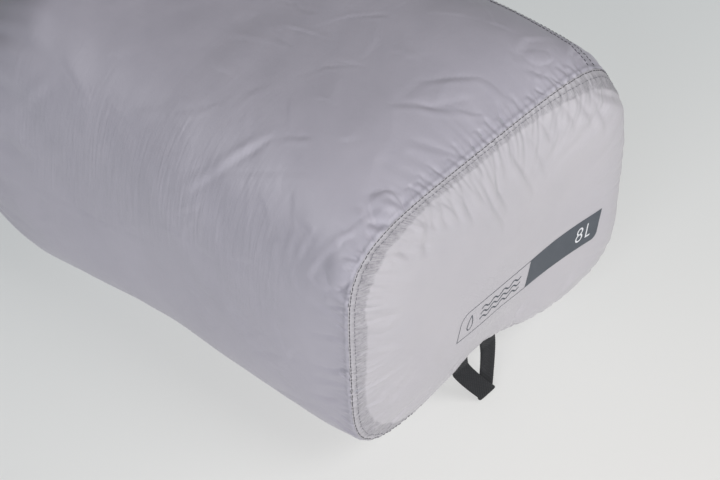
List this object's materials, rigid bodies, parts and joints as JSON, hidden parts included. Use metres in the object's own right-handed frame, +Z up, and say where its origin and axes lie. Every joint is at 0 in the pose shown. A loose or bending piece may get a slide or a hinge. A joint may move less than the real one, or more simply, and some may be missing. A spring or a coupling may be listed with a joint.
{
  "type": "roll-top dry sack",
  "caption": "Stuffed roll-top dry sack of thin coated nylon with a sewn bottom panel, folded webbing haul loop, rolled mouth and side-release buckle.",
  "frame": {"origin": "centre of the flat patch of the back face that the stuffed sack rests on", "axes": "+X across the sack, +Y from the sewn bottom panel towards the rolled mouth, +Z up from the resting face"},
  "size_m": [0.1992, 0.4299, 0.1722],
  "materials": {
    "body_fabric": "thin silicone-coated nylon, soft sheen, slightly see-through",
    "bottom_fabric": "thin silicone-coated nylon, soft sheen, slightly see-through",
    "seam_tape": "satin tape",
    "thread": "matte",
    "webbing": "plain-woven nylon webbing",
    "strip": "flexible, matte",
    "buckle_plastic": "moulded acetal, fine grain"
  },
  "bodies": {
    "sack": {"body_panel": "body_fabric", "bottom_panel": "bottom_fabric", "bottom_seam_tape": "seam_tape", "side_seam_tape": "seam_tape", "bottom_stitch_outer": "thread", "bottom_stitch_inner": "thread", "side_stitch_low": "thread", "side_stitch_high": "thread", "rolled_mouth_centre": "body_fabric", "mouth_strip_centre": "strip"},
    "haul_loop": {"haul_loop": "webbing"},
    "left_arm": {"rolled_mouth_left": "body_fabric", "mouth_strip_left": "strip", "buckle_tab_left": "webbing", "tab_bartack_left": "thread", "buckle_socket": "buckle_plastic"},
    "right_arm": {"rolled_mouth_right": "body_fabric", "mouth_strip_right": "strip", "buckle_tab_right": "webbing", "tab_bartack_right": "thread", "buckle_plug": "buckle_plastic"},
    "prong_upper": {"buckle_prong_upper": "buckle_plastic"},
    "prong_lower": {"buckle_prong_lower": "buckle_plastic"}
  },
  "joints": [
    {"name": "haul_loop_swing", "type": "hinge", "parent": "sack", "child": "haul_loop", "pos_m": [-0.008, -0.14615, 0.0229], "axis": [-1, 0, 0], "range_deg": [-1, 92]},
    {"name": "left_arm_swing", "type": "hinge", "parent": "sack", "child": "left_arm", "pos_m": [-0.05055, 0.18197, 0.085], "axis": [0, 0, 1], "range_deg": [0, 66]},
    {"name": "right_arm_swing", "type": "hinge", "parent": "sack", "child": "right_arm", "pos_m": [0.05055, 0.18197, 0.085], "axis": [0, 0, 1], "range_deg": [-66, 0]},
    {"name": "prong_upper_flex", "type": "hinge", "parent": "right_arm", "child": "prong_upper", "pos_m": [0.007, 0.2659, 0.0936], "axis": [0, -1, 0], "range_deg": [0, 12], "stiffness_Nm_per_rad": 0.01},
    {"name": "prong_lower_flex", "type": "hinge", "parent": "right_arm", "child": "prong_lower", "pos_m": [0.007, 0.2659, 0.0764], "axis": [0, -1, 0], "range_deg": [-12, 0], "stiffness_Nm_per_rad": 0.01}
  ],
  "couplings": [
    {"joint": "right_arm_swing", "follows": "left_arm_swing", "ratio": -1},
    {"joint": "prong_lower_flex", "follows": "prong_upper_flex", "ratio": -1}
  ]
}
